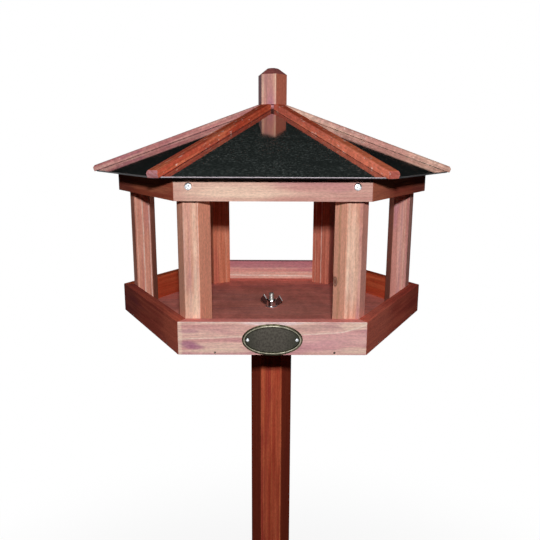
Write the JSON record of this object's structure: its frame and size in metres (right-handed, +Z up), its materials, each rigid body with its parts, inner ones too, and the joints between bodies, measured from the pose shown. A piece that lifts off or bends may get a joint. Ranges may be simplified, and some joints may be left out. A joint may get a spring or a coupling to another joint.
{
  "type": "hexagonal bird table on a pole",
  "caption": "Hexagonal wooden bird feeder with open sides, a tray with raised edges and a hipped roof with a finial, on a pole with a braced foot.",
  "frame": {"origin": "on the ground, on the axis of the pole, at the middle of the pole's lower end", "axes": "+Z up along the pole, -Y out of the front side that carries the plate, +X to the right of it"},
  "size_m": [0.6336, 0.5909, 1.5111],
  "materials": {
    "cedar_board": "oiled satin, streaked pink and brown grain",
    "cedar_post": "oiled satin, straight upright grain",
    "cedar_batten": "oiled satin, orange-red",
    "cedar_pole": "oiled satin, dark mahogany red",
    "floor_panel": "satin red-brown stain",
    "roof_panel": "2 mm sheet, gloss green-black coating, pale bare edge",
    "zinc": "bright zinc plated",
    "bronze": "antique bronze, brighter on the rim"
  },
  "bodies": {
    "root": {"tray_board_1": "cedar_board", "tray_board_2": "cedar_board", "tray_board_3": "cedar_board", "tray_board_4": "cedar_board", "tray_board_5": "cedar_board", "tray_board_6": "cedar_board", "ring_board_1": "cedar_board", "ring_board_2": "cedar_board", "ring_board_3": "cedar_board", "ring_board_4": "cedar_board", "ring_board_5": "cedar_board", "ring_board_6": "cedar_board", "post_1": "cedar_post", "post_2": "cedar_post", "post_3": "cedar_post", "post_4": "cedar_post", "post_5": "cedar_post", "post_6": "cedar_post", "finial": "cedar_post", "hip_batten_1": "cedar_batten", "hip_batten_2": "cedar_batten", "hip_batten_3": "cedar_batten", "hip_batten_4": "cedar_batten", "hip_batten_5": "cedar_batten", "hip_batten_6": "cedar_batten", "king_block": "cedar_batten", "pole": "cedar_pole", "foot_rail_1": "cedar_pole", "foot_rail_2": "cedar_pole", "foot_rail_3": "cedar_pole", "foot_brace_1": "cedar_pole", "foot_brace_2": "cedar_pole", "foot_brace_3": "cedar_pole", "tray_floor": "floor_panel", "roof_panel_1": "roof_panel", "roof_panel_2": "roof_panel", "roof_panel_3": "roof_panel", "roof_panel_4": "roof_panel", "roof_panel_5": "roof_panel", "roof_panel_6": "roof_panel", "stud": "zinc", "washer": "zinc", "wing_nut": "zinc", "plate_pins": "zinc", "name_plate": "bronze"}
  },
  "joints": []
}
